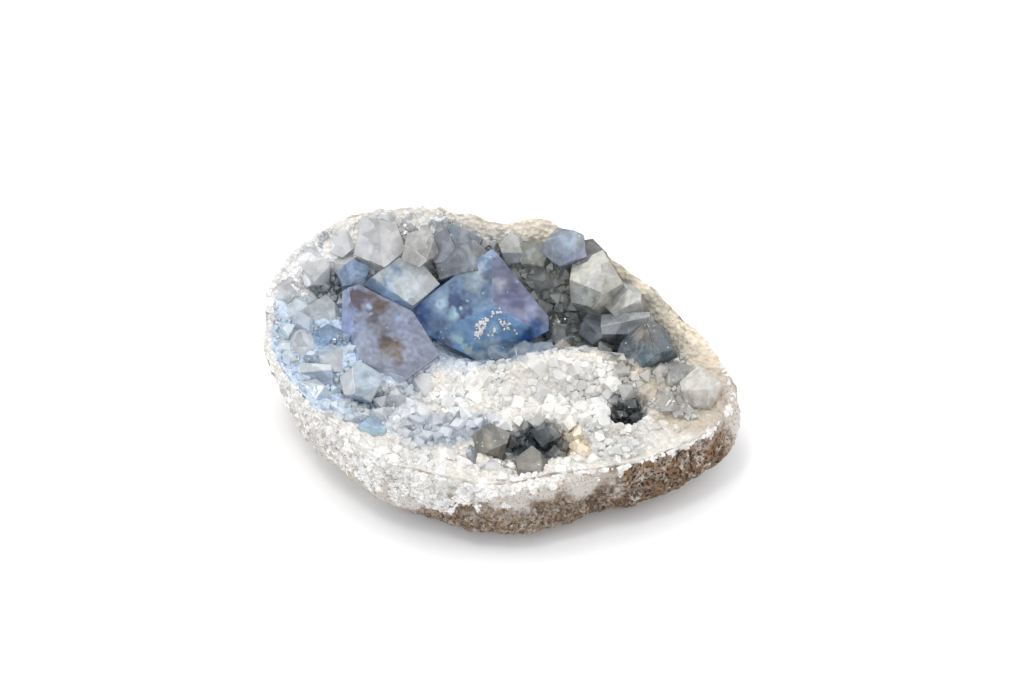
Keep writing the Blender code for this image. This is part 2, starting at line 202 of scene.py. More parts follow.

# The crust's colour from place to place. Each area has its middle (x, y), its half length, its half width,
# its turn and its colour, and is laid over those before it. The dark areas in the dishes, at (8, 27), (26,
# 15), (-47, 24.5), (8.5, -18.5) and (33.5, -9.5), are the crust's grey darkened by painted shade, and the
# dark blue ones on the left bank, at (-36, -8.5) and (-46, 7), are painted blue shade.
BARE_GROUND = "#e8e3d9"
GROUNDS = (
    (-46, 2, 28, 24, 60, "#c9dcf2"), (-52, 30, 22, 12, 20, "#fbf9f6"), (-22, 38, 34, 8, 0, "#faf4ea"),
    (40, 10, 36, 17, -38, "#d9cdba"), (12, 41, 30, 6, -8, "#f2e6d2"), (47, 23, 27, 8.5, -48, "#f7ead2"),
    (60, -6, 8, 20, 10, "#f3e2c8"), (53, -8, 14, 14, 0, "#cbbfae"), (8, 27, 26, 10, -8, "#8e8c82"),
    (26, 15, 24, 12, -20, "#767873"), (-14, 15, 26, 13, 0, "#cfdcea"), (-47, 24.5, 8, 4, 10, "#6c7177"),
    (-30, -12, 14, 8, -30, "#dcdfe2"), (-36, -31, 18, 10, -40, "#e6e3dc"), (-14, -17, 14, 6, 5, "#9aa2ac"),
    (26, -22, 14, 8, 0, "#c4c0b8"), (19, -20, 4, 7, 20, "#e0c8a2"), (8.5, -18.5, 10, 6, 8, "#3c464c"),
    (33.5, -9.5, 6, 5, 20, "#3a3e3e"), (-36, -8.5, 4, 3, 0, "#4d6078"), (-46, 7, 6, 4, 0, "#7f9ab8"),
    (5, 6, 10, 4.5, 0, "#8d9aa8"),
)

# The small crystals stand in patches. Each patch has its middle (x, y), its half length and half width, its
# turn, the number tried, their smallest and largest width, and their kind.
Patch = namedtuple("Patch", "name x y half_length half_width turn count smallest largest kind")
PATCHES = (
    # The crystals of the pits and the back hollow take the painted shade of the crust under them.
    Patch("pit", 8.5, -19, 10, 6, 4, 60, 3, 7.5, "smoky_and_shaded"),
    Patch("small_pit", 33.5, -9.5, 4.5, 3.2, 20, 24, 1.8, 3.6, "smoky_and_shaded"),
    Patch("left_bank", -44, 6, 27, 22, 60, 5200, 1.3, 6.5, "frosted"),
    Patch("back_rim", -14, 34, 48, 10, 0, 3200, 1.2, 6.5, "frosted"),
    Patch("right_bank", 40, 8, 34, 14, -38, 2600, 1.4, 7, "frosted"),
    Patch("back_hollow", 20, 19, 31, 15, -14, 1800, 1.6, 6, "smoky_and_shaded"),
    Patch("ridge", 12, -1, 46, 9, 0, 3600, 1.5, 5, "sugary"),
    Patch("ledge", 0, -24, 50, 16, 2, 4600, 1.2, 4.6, "sugary"),
)
SEED = 7
# The small crystals: how many shapes they have, how close they stand, as a share of their widths, their
# steepest lean, and the width of the cells of the plan in which neighbours are looked up.
TEMPLATES = 14
CROWDING = 0.22
LEAN = 0.6
CELL = 6.0

# The sugar grains on the outer wall: the number tried, the arc they lie in, the smallest one's width, how
# many times as wide the largest is, the share of their width that is sunk in, and their two colours.
GRAIN_COUNT = 12000
GRAIN_ARC = (150, 372)
GRAIN_WIDTH = 0.6
GRAIN_RANGE = 3.2
GRAIN_DEPTH = 0.22
GRAIN_COLOURS = ("#fcfaf7", "#d9d3c9")

# The middle of the rock's brown stain, at its front right, and how far the wall's sugar keeps from it.
STAIN = Vector((44.0, -28.0, 10.5))
STAIN_CLEARANCE = 16.0
# How deep the rock's own bed lies under the druse, and how far the druse's edge reaches down.
BED_DEPTH = 3.0
DRUSE_EDGE = 5.0
# The rings of points on the rock's bed, wall, underside and flat, and on the druse's top, edge and underside.
ROCK_RINGS = (14, 34, 34, 12)
DRUSE_RINGS = (120, 3, 12)
DRUSE_SEGMENTS = 360

CELESTITE_IOR = 1.62
SKY = "#f5f8ff"
SKY_STRENGTH = 0.7
# The lamps: place and size in metres, power in watts and colour. The small ones make the crystals glint.
LAMPS = (
    ("key", (-0.35, 0.45, 0.84), 0.9, 5.0, "#fffaf2"),
    ("fill", (0.5, 0.6, 0.64), 0.8, 2.0, "#f3f7ff"),
    ("front", (-0.1, -0.75, 0.75), 1.2, 1.6, "#ffffff"),
    ("sparkle", (-0.25, -0.1, 0.96), 0.2, 1.4, "#ffffff"),
    ("glint", (0.55, -0.75, 0.34), 0.2, 1.0, "#ffffff"),
    ("flash", (-0.85, -0.35, 0.4), 0.2, 1.0, "#eef4ff"),
    ("gleam", (0.85, 0.1, 0.5), 0.7, 2.0, "#fff6ea"),
)
LAMP_AIM = Vector((0.0, 0.0, 0.02))
CAMERA_AIM = Vector((0.0027, 0.0152, 0.020))


def around(table, angle):
    """The table's value at an angle, on a smooth closed curve through its entries."""
    place = (angle / tau) % 1.0 * len(table)
    first = int(place)
    t = place - first
    a, b, c, d = (table[(first + k) % len(table)] for k in (-1, 0, 1, 2))
    bend = 2 * a - 5 * b + 4 * c - d
    return b + 0.5 * t * (c - a + t * (bend + t * (3 * b - a - 3 * c + d)))


def rim_width(angle):
    return around(HALF_WIDTHS, angle) * around(RIM_SHARES, angle)


def plan_place(x, y):
    """The angle of a place on the plan, and its distance from the centre as a share of the rim's."""
    dx, dy = x - PLAN_CENTRE[0], y - PLAN_CENTRE[1]
    angle = atan2(dy, dx)
    return angle, hypot(dx, dy) / rim_width(angle)


def plan_point(angle, width):
    return PLAN_CENTRE[0] + width * cos(angle), PLAN_CENTRE[1] + width * sin(angle)


def in_ellipse(x, y, middle_x, middle_y, half_length, half_width, turn):
    """The place in an ellipse's own axes, as shares of its half length and half width."""
    cosine, sine = cos(radians(turn)), sin(radians(turn))
    dx, dy = x - middle_x, y - middle_y
    return (dx * cosine + dy * sine) / half_length, (dy * cosine - dx * sine) / half_width


def bed_height(x, y):
    angle, share = plan_place(x, y)
    share = min(share, 1.0)
    floor = FLOOR_HEIGHT + FLOOR_SLOPE * y
    floor += (around(RIM_HEIGHTS, angle) - floor) * share**4
    dip = 0.0
    for *ellipse, rise in DISHES:
        along, across = in_ellipse(x, y, *ellipse)
        dip += rise * max(0.0, 1.0 - along * along - across * across) ** 2
    return floor + (1.0 - share**6) * dip


def bed_normal(x, y):
    step = 0.5
    slope_x = (bed_height(x + step, y) - bed_height(x - step, y)) / (2 * step)
    slope_y = (bed_height(x, y + step) - bed_height(x, y - step)) / (2 * step)
    return Vector((-slope_x, -slope_y, 1.0)).normalized()


def lumps(point, octaves, seed):
    """Rounded lumps, as a distance in millimetres, from pairs of a lump's width and its height."""
    return sum(height * noise.noise(point / width + Vector((seed, 0.0, width))) for width, height in octaves)


def linear(colour):
    """An sRGB hex colour as linear red, green and blue."""
    parts = [int(colour[i:i + 2], 16) / 255 for i in (1, 3, 5)]
    return [part / 12.92 if part <= 0.04045 else ((part + 0.055) / 1.055) ** 2.4 for part in parts]


def mixed(first, second, share):
    return [a + (b - a) * share for a, b in zip(first, second)]


def colour_setting(name, description, colour):
    """A colour property with a hex colour as its default."""
    return FloatVectorProperty(
        name=name, description=description, subtype="COLOR", size=3, min=0.0, max=1.0, default=linear(colour))


def add_node(tree, kind, settings=(), inputs=()):
    """Adds a node to a tree. An input is a value, or the node or the socket that feeds it."""
    node = tree.nodes.new(kind)
    for name, value in dict(settings).items():
        setattr(node, name, value)
    for name, value in dict(inputs).items():
        if isinstance(value, bpy.types.Node):
            value = value.outputs[0]
        if isinstance(value, bpy.types.NodeSocket):
            tree.links.new(value, node.inputs[name])
        else:
            node.inputs[name].default_value = value
    return node


def new_material(name, inputs):
    """A new material, its tree, its shader with these inputs, and the coordinates that its patterns read."""
    material = bpy.data.materials.new(name)
    material.use_nodes = True
    tree = material.node_tree
    tree.nodes.clear()
    shader = add_node(tree, "ShaderNodeBsdfPrincipled", {}, inputs)
    add_node(tree, "ShaderNodeOutputMaterial", {}, {"Surface": shader})
    return material, tree, shader, add_node(tree, "ShaderNodeTexCoord").outputs["Object"]


def cloud(tree, place, size, low, high, to_low=0.0, to_high=1.0, detail=3.0, bend=0.0):
    """A pattern of clouds this many millimetres wide, with its part from low to high stretched."""
    noisy = add_node(tree, "ShaderNodeTexNoise", {}, {
        "Vector": place, "Scale": 1.0 / (size * MM), "Detail": detail, "Roughness": 0.65, "Distortion": bend})
    return add_node(tree, "ShaderNodeMapRange", {}, {0: noisy, 1: low, 2: high, 3: to_low, 4: to_high})


def stained(tree, base, stains):
    """Lays stains over a base colour, each with its pattern, what masks it, if anything, and its colour."""
    for share, mask, colour in stains:
        if mask is not None:
            share = add_node(tree, "ShaderNodeMath", {"operation": "MULTIPLY"}, {0: share, 1: mask})
        feeds = {0: share, 6: base, 7: (*colour, 1.0)}
        base = add_node(tree, "ShaderNodeMix", {"data_type": "RGBA"}, feeds).outputs[2]
    return base


def shaded(tree, base, light):
    """A base colour made lighter and darker by a pattern."""
    shade = add_node(tree, "ShaderNodeCombineColor", {}, {0: light, 1: light, 2: light})
    node = add_node(
        tree, "ShaderNodeMix", {"data_type": "RGBA", "blend_type": "MULTIPLY"}, {0: 1.0, 6: base, 7: shade})
    return node.outputs[2]


def rough_up(tree, shader, reliefs):
    """Gives a shader the relief of patterns, each with its height in millimetres."""
    normal = None
    for pattern, height in reliefs:
        feeds = {"Height": pattern, "Distance": height * MM}
        if normal:
            feeds["Normal"] = normal
        normal = add_node(tree, "ShaderNodeBump", {}, feeds)
    tree.links.new(normal.outputs[0], shader.inputs["Normal"])


def rock_material(finish):
    """Weathered marly limestone: matt, granular, chalky cream, with brown iron stain and dark grit."""
    material, tree, shader, place = new_material(
        "weathered_marl", {"Roughness": 0.9, "Specular IOR Level": 0.3})
    weather_and_shade = add_node(tree, "ShaderNodeAttribute", {"attribute_name": "weather_and_shade"}).outputs["Fac"]
    stain = add_node(tree, "ShaderNodeAttribute", {"attribute_name": "stain"}).outputs["Fac"]
    # The grey-brown film, laid where the wall is weathered and stained, darkens the wall more the lower it
    # is: it is partly dust and partly painted shade.
    stains = (
        (9.0, 0.4, 0.6, None, finish.cream),
        (5.0, 0.2, 0.6, weather_and_shade, finish.dust_and_shade),
        (2.2, 0.42, 0.55, weather_and_shade, finish.tan),
        (0.9, 0.54, 0.62, None, finish.tan),
        (1.4, 0.54, 0.6, None, finish.chalk),
        (6.0, 0.3, 0.5, stain, finish.brown),
        (3.4, 0.5, 0.62, stain, finish.cream),
        (2.4, 0.5, 0.64, stain, finish.dust_and_shade),
        (1.1, 0.49, 0.58, stain, finish.pore),
        (1.0, 0.5, 0.56, weather_and_shade, finish.grit))
    base = stained(tree, (*finish.chalk, 1.0), [
        (cloud(tree, place, size, low, high, detail=6.0), mask, colour)
        for size, low, high, mask, colour in stains])
    tree.links.new(base, shader.inputs["Base Color"])
    rough_up(tree, shader, (
        (cloud(tree, place, 1.4, 0.2, 0.8, detail=5.0), 0.9), (cloud(tree, place, 0.5, 0.2, 0.8), 0.35)))
    return material


def druse_material():
    """A druse of tiny grown-together crystals: milky, with sugar-like grains that catch the light."""
    material, tree, shader, place = new_material("celestite_druse", {"Roughness": 0.3})
    tint = add_node(tree, "ShaderNodeAttribute", {"attribute_name": "tint"}).outputs["Color"]
    light = cloud(tree, place, 2.0, 0.3, 0.7, 0.78, 1.0, 5.0)
    tree.links.new(shaded(tree, tint, light), shader.inputs["Base Color"])
    cells = add_node(tree, "ShaderNodeTexVoronoi", {}, {"Vector": place, "Scale": 1.0 / (1.3 * MM)})
    rough_up(tree, shader, ((cells, 0.7),))
    return material


# How a kind of crystal looks: the share of the light that passes into it, the roughness of its frosted spots,
# how strongly it absorbs, how much the painted reflections of its inner faces and its veils show, and the
# colour of its painted glints.
Kind = namedtuple("Kind", "transmission frost absorbing mosaic veil fleck")
KINDS = {
    "blue": Kind(0.45, 0.05, 30.0, 0.16, 0.1, "#c8f0ff"),
    "veiled": Kind(0.45, 0.08, 30.0, 0.16, 0.15, "#b4c0ff"),
    "clear": Kind(0.55, 0.08, 15.0, 0.25, 0.6, "#fafdff"),
    "frosted": Kind(0.35, 0.25, 0.0, 0.2, 0.4, "#ffffff"),
    "sugary": Kind(0.12, 0.45, 0.0, 0.12, 0.4, "#ffffff"),
    "smoky_and_shaded": Kind(0.4, 0.3, 0.0, 0.3, 0.1, "#dfe9e6"),
}


def crystal_material(name, kind):
    """Celestite: natural glassy faces, faintly uneven and frosted in spots.

    The tint attribute gives each crystal its body colour, and its inside absorbs red light first. Lighter and
    darker cells paint the reflections of its inner faces on its body, wisps veil it, and painted glints dot
    it brightly.
    """
    material, tree, shader, place = new_material(
        name, {"IOR": CELESTITE_IOR, "Transmission Weight": kind.transmission})
    tint = add_node(tree, "ShaderNodeAttribute", {"attribute_name": "tint"}).outputs["Color"]
    # Large cells paint the reflections of inner faces, and small specks paint glints.
    cells, glint_specks = [
        add_node(tree, "ShaderNodeTexVoronoi", {"distance": "MANHATTAN"}, {"Vector": place, "Scale": scale})
        for scale in (1.0 / (5.0 * MM), 1.0 / (1.5 * MM))]
    random_part = add_node(tree, "ShaderNodeSeparateColor", {}, {0: cells.outputs["Color"]})
    inner_face_reflection = add_node(tree, "ShaderNodeMapRange", {}, {
        0: random_part, 1: 0.0, 2: 1.0, 3: 1.0 - kind.mosaic, 4: 1.0 + kind.mosaic})
    milk = cloud(tree, place, 3.0, 0.36, 0.62, 1.0 - kind.mosaic, 1.0, 4.0)
    light = add_node(tree, "ShaderNodeMath", {"operation": "MULTIPLY"}, {0: inner_face_reflection, 1: milk})
    # Painted glints: bright specks, shown where a cloud lets them.
    fleck = add_node(tree, "ShaderNodeMapRange", {}, {0: glint_specks, 1: 0.18, 2: 0.3, 3: 1.0, 4: 0.0})
    body = stained(tree, shaded(tree, tint, light), (
        (cloud(tree, place, 8.0, 0.5, 0.7, 0.0, kind.veil, 5.0, 0.8), None, linear("#eff6fa")),
        (fleck, cloud(tree, place, 5.0, 0.54, 0.6, 0.0, 1.0, 2.0), linear(kind.fleck))))
    tree.links.new(body, shader.inputs["Base Color"])
    roughness = cloud(tree, place, 2.2, 0.5, 0.7, 0.04, kind.frost).outputs[0]
    tree.links.new(roughness, shader.inputs["Roughness"])
    rough_up(tree, shader, ((cloud(tree, place, 2.6, 0.2, 0.8), 0.08),))
    if kind.absorbing:
        absorption = add_node(tree, "ShaderNodeVolumeAbsorption", {}, {
            "Color": (*linear("#a9c6ea"), 1.0), "Density": kind.absorbing})
        tree.links.new(absorption.outputs[0], tree.nodes["Material Output"].inputs["Volume"])
    return material


def crystal_finish(kind):
    """The material of a kind of crystal, made when it is first asked for."""
    name = "celestite_" + kind
    return bpy.data.materials.get(name) or crystal_material(name, KINDS[kind])


def as_mesh(name, bm):
    mesh = bpy.data.meshes.new(name)
    bm.to_mesh(mesh)
    bm.free()
    return mesh


def add_object(name, data):
    thing = bpy.data.objects.new(name, data)
    bpy.context.scene.collection.objects.link(thing)
    return thing


def finish_piece(name, bm, material, shade_smooth=False):
    """Puts a mesh in millimetres into the scene as a piece in metres that rides on the geode."""
    bmesh.ops.scale(bm, vec=(MM, MM, MM), verts=bm.verts)
    for face in bm.faces:
        face.smooth = shade_smooth
    piece = add_object(name, as_mesh(name, bm))
    piece.data.materials.append(material)
    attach(piece, "root")
    return piece


def ring_solid(segments, rings, place):
    """A closed body of rings round the plan's centre. place gives a point for an angle and a ring."""
    bm = bmesh.new()
    bmesh.ops.create_uvsphere(bm, u_segments=segments, v_segments=rings, radius=1.0)
    for vertex in bm.verts:
        ring = round(acos(max(-1.0, min(1.0, vertex.co.z))) / pi * rings)
        step = round(atan2(vertex.co.y, vertex.co.x) / tau * segments)
        vertex.co = place(step / segments * tau, ring)
    bmesh.ops.recalc_face_normals(bm, faces=bm.faces)
    return bm


def wall_point(angle, turn):
    """A point on the outer wall: turn 0 is the rim, 1 the widest line and 2 the edge of the flat."""
    half_width = around(HALF_WIDTHS, angle)
    widest = around(WIDEST_HEIGHTS, angle)
    if turn <= 1.0:
        width = rim_width(angle) + (half_width - rim_width(angle)) * sin(turn * pi / 2)
        height = widest + (around(RIM_HEIGHTS, angle) - widest) * cos(turn * pi / 2)
        fade = min(1.0, 0.25 + 3.0 * turn)
    else:
        width = half_width * (FLAT_SHARE + (1 - FLAT_SHARE) * cos((turn - 1.0) * pi / 2))
        height = widest * (1 - sin((turn - 1.0) * pi / 2))
        fade = min(1.0, height / 4.0)
    point = Vector((*plan_point(angle, width), height))
    out = Vector((cos(angle), sin(angle), (height - widest) / 40.0))
    rough = lumps(point, ROUGHNESS_OF_WALL, 11.0)
    return point + out * (fade * lumps(point, LUMPS, 3.0) + min(1.0, height / 1.5) * rough)


def wall_width(angle, z):
    """How far the outer wall stands from the plan's centre at a height, without its lumps."""
    rim = around(RIM_HEIGHTS, angle)
    widest = around(WIDEST_HEIGHTS, angle)
    half_width = around(HALF_WIDTHS, angle)
    if z > widest:
        rise = min(1.0, (z - widest) / (rim - widest))
        return rim_width(angle) + (half_width - rim_width(angle)) * sqrt(1 - rise * rise)
    drop = 1 - max(0.0, z) / widest
    return half_width * (FLAT_SHARE + (1 - FLAT_SHARE) * sqrt(1 - drop * drop))


def tuck_in(bm):
    """Draws crystals' roots in from the rock's wall, so that none comes out through it."""
    for vertex in bm.verts:
        x, y, z = vertex.co
        angle, share = plan_place(x, y)
        depth = around(RIM_HEIGHTS, angle) - z
        reach = wall_width(angle, z) - min(4.0, 0.4 + 0.6 * depth)
        if depth > 0.0 and share * rim_width(angle) > reach:
            vertex.co.xy = plan_point(angle, reach)


class GeodeRockSettings(bpy.types.PropertyGroup):
    chalk: colour_setting("Chalk", "The rock's pale ground", "#efebe6")
    cream: colour_setting("Cream", "The broad stains on the pale ground", "#e3d9ca")
    tan: colour_setting("Tan", "The small stains, most on weathered rock", "#bda588")
    # Partly dust and partly painted shade, darker the lower on the wall.
    dust_and_shade: colour_setting("Dust", "The film on weathered rock", "#8d8278")
    brown: colour_setting("Brown", "The iron stain at the front right", "#9a7452")
    grit: colour_setting("Grit", "The dark grains in weathered rock", "#685c51")
    pore: colour_setting("Pore", "The dark pores in the iron stain", "#3b2b20")
    segments: IntProperty(name="Segments", description="Points round the rock", default=420, min=48, max=600)


class GeodeDruseSettings(bpy.types.PropertyGroup):
    grain: FloatProperty(
        name="Grain", description="Width of a grain in millimetres", default=2.6, min=0.5, max=8.0)
    relief: FloatProperty(
        name="Relief", description="Height of a grain in millimetres", default=1.2, min=0.0, max=3.0)


class GeodeCrystalSettings(bpy.types.PropertyGroup):
    share: FloatProperty(
        name="Share", description="Share of the small crystals that are grown", default=1.0, min=0.0, max=1.0)
    bevel: FloatProperty(
        name="Worn edge", description="Width of worn edges in millimetres", default=0.15, min=0.0, max=1.0)
    paint: FloatProperty(
        name="Paint", description="Size of painted detail in millimetres", default=0.6, min=0.3, max=4.0)


class GeodeStageSettings(bpy.types.PropertyGroup):
    floor: colour_setting("Floor", "The matt white paper the geode stands on", "#fbfbfa")
    distance: FloatProperty(name="Distance", description="Camera's distance", default=0.9, unit="LENGTH")
    rise: FloatProperty(
        name="Rise", description="Camera's rise above the horizon", default=radians(45), subtype="ANGLE")
    lens: FloatProperty(name="Lens", description="Camera's focal length in millimetres", default=116.0)


def wear(point):
    """How weathered the rock's wall is at a point, and how stained, each from 0 to 1."""
    angle = plan_place(point.x, point.y)[0]
    side = cos(angle)
    rim = around(RIM_HEIGHTS, angle)
    depth = (rim - point.z) / max(rim, 1.0)
    edge = noise.noise(point / 7.0) + 0.5 * noise.noise(point / 2.5)
    # The clean share of the wall, from the rim down. It is largest at the front left.
    clean = 0.12
    if sin(angle) <= 0.0:
        clean = 0.14 - 1.1 * min(0.0, side + 0.2) + 0.3 * max(0.0, side) ** 4
    # Weathering grows down the wall, and with it the painted shade of the grey-brown film.
    weather_and_shade = max(0.0, min(1.0, (depth - clean) * 4.0 + 0.8 * edge))
    stain = max(0.0, min(1.0, 2.7 - (point - STAIN).length / 9.0 + edge))
    return weather_and_shade, max(stain, 0.5 * weather_and_shade)


def rock_point(angle, ring):
    """A point of the rock: on its bed under the druse, its wall, its underside or its flat."""
    bed, wall, under, flat = ROCK_RINGS
    if ring <= bed:
        share = ring / bed
        x, y = plan_point(angle, share * rim_width(angle))
        rim = around(RIM_HEIGHTS, angle)
        floor = bed_height(x, y) - BED_DEPTH
        point = Vector((x, y, floor + (rim - floor) * share**20))
        return point + UP * lumps(point, ROUGHNESS_OF_WALL, 11.0) * share**8
    ring -= bed
    if ring <= wall:
        return wall_point(angle, ring / wall)
    ring -= wall
    if ring <= under:
        return wall_point(angle, 1.0 + ring / under)
    ring -= under
    width = around(HALF_WIDTHS, angle) * FLAT_SHARE * (1 - ring / flat)
    return Vector((*plan_point(angle, width), 0.0))


class GEODE_OT_rock(bpy.types.Operator):
    """Builds the nodule's rock, with its rough wall and the flat spot it rests on"""
    bl_idname = "geode.rock"
    bl_label = "Rock"

    def execute(self, context):
        settings = context.scene.geode_rock
        bm = ring_solid(settings.segments, sum(ROCK_RINGS), rock_point)
        weather_and_shade = bm.verts.layers.float.new("weather_and_shade")
        stain = bm.verts.layers.float.new("stain")
        for vertex in bm.verts:
            vertex[weather_and_shade], vertex[stain] = wear(vertex.co)
        piece = finish_piece("rock", bm, rock_material(settings), True)
        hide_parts("rind")
        return {"FINISHED"}


def ground_colour(x, y):
    """The crust's linear colour at a place."""
    wave = 0.22 * noise.noise(Vector((x, y, 0.0)) / 6.0) + 0.12 * noise.noise(Vector((x, y, 9.0)) / 2.5)
    colour = linear(BARE_GROUND)
    for *ellipse, tone in GROUNDS:
        along, across = in_ellipse(x, y, *ellipse)
        share = max(0.0, min(1.0, (1.15 + wave - hypot(along, across)) / 0.4))
        colour = mixed(colour, linear(tone), share)
    return colour


def druse_point(angle, ring):
    """A point of the druse: on its grainy top, its edge or its underside."""
    settings = bpy.context.scene.geode_druse
    top, edge, under = DRUSE_RINGS
    reach = 1.0
    if ring <= top:
        reach = ring / top
    elif ring > top + edge:
        reach = 1.0 - (ring - top - edge) / under
    x, y = plan_point(angle, reach * rim_width(angle))
    height = bed_height(x, y)
    if ring > top:
        return Vector((x, y, height - DRUSE_EDGE * min(1.0, (ring - top) / edge)))
    point = Vector((x, y, height))
    rise = 0.0
    for width, share in ((1.0, 1.0), (0.45, 0.4)):
        distances = noise.voronoi(point / (settings.grain * width))[0]
        rise += share * settings.relief * (0.9 - distances[0])
    return point + UP * (rise + lumps(point, ((8.0, 1.2),), 5.0))


class GEODE_OT_druse(bpy.types.Operator):
    """Builds the crust of tiny crystals that covers the rock's hollow"""
    bl_idname = "geode.druse"
    bl_label = "Druse"

    def execute(self, context):
        bm = ring_solid(DRUSE_SEGMENTS, sum(DRUSE_RINGS), druse_point)
        tuck_in(bm)
        tint = bm.verts.layers.float_color.new("tint")
        for vertex in bm.verts:
            # The crust's colour includes its painted shade in the dishes and on the left bank.
            vertex[tint] = (*ground_colour(vertex.co.x, vertex.co.y), 1.0)
        piece = finish_piece("druse", bm, druse_material())
        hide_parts("crystal_crust")
        return {"FINISHED"}


# Where the deep blue crystal's corner is bruised white: points on it, each with its number of crumbs.
CHIPS = (
    (-6.5, 11.9, 26.5, 30), (-5.9, 12.3, 28.3, 30), (-5.2, 12.7, 30.0, 30), (-4.3, 13.0, 31.1, 7),
    (-2.7, 13.5, 33.0, 7), (-1.1, 13.5, 32.9, 7), (0.3, 13.1, 31.1, 7), (1.0, 12.8, 29.4, 7),
    (1.3, 12.6, 28.6, 7), (-1.4, 12.2, 27.4, 7), (-3.5, 11.9, 26.2, 7), (3.0, 12.4, 27.6, 7))


def face_normal(look, lean):
    look, lean = radians(look), radians(lean)
    return Vector((cos(look) * sin(lean), sin(look) * sin(lean), cos(lean)))


def cut_block(size, faces):
    """A block cut down to a crystal's faces, in the crystal's own axes."""
    block = bmesh.new()
    bmesh.ops.create_cube(block, size=4.0 * size)
    for look, lean, distance in faces:
        normal = face_normal(look, lean)
        cut_away(block, normal * distance, normal)
    bmesh.ops.recalc_face_normals(block, faces=block.faces)
    return block


def cut_away(block, place, normal):
    """Cuts off what lies on a plane's outer side, and closes the cut."""
    everything = block.verts[:] + block.edges[:] + block.faces[:]
    cut = bmesh.ops.bisect_plane(
        block, geom=everything, dist=1e-4, plane_co=place, plane_no=normal, clear_outer=True)
    rim = [part for part in cut["geom_cut"] if isinstance(part, bmesh.types.BMEdge)]
    if len(rim) > 2:
        bmesh.ops.contextual_create(block, geom=rim)


def wear_edges(block, width):
    bmesh.ops.bevel(
        block, geom=block.edges[:], offset=width, affect="EDGES", segments=1, profile=0.5, material=-1)


def pointing(way, turn, place):
    """The matrix that turns a crystal's axis to a way, turns it about that way, and moves it to a place."""
    turned = way.to_track_quat("Z", "Y").to_matrix().to_4x4()
    return Matrix.Translation(place) @ turned @ Matrix.Rotation(radians(turn), 4, "Z")


def large_place(crystal):
    azimuth, rise = radians(crystal.azimuth), radians(crystal.rise)
    way = Vector((cos(azimuth) * cos(rise), sin(azimuth) * cos(rise), sin(rise)))
    return pointing(way, crystal.turn, Vector((crystal.x, crystal.y, crystal.z)))


def inside(crystal, point, margin):
    """Whether a point is within a large crystal, or within the margin of it."""
    own = large_place(crystal).inverted() @ point
    return all(
        face_normal(look, lean).dot(own) < distance + margin for look, lean, distance in crystal.faces)


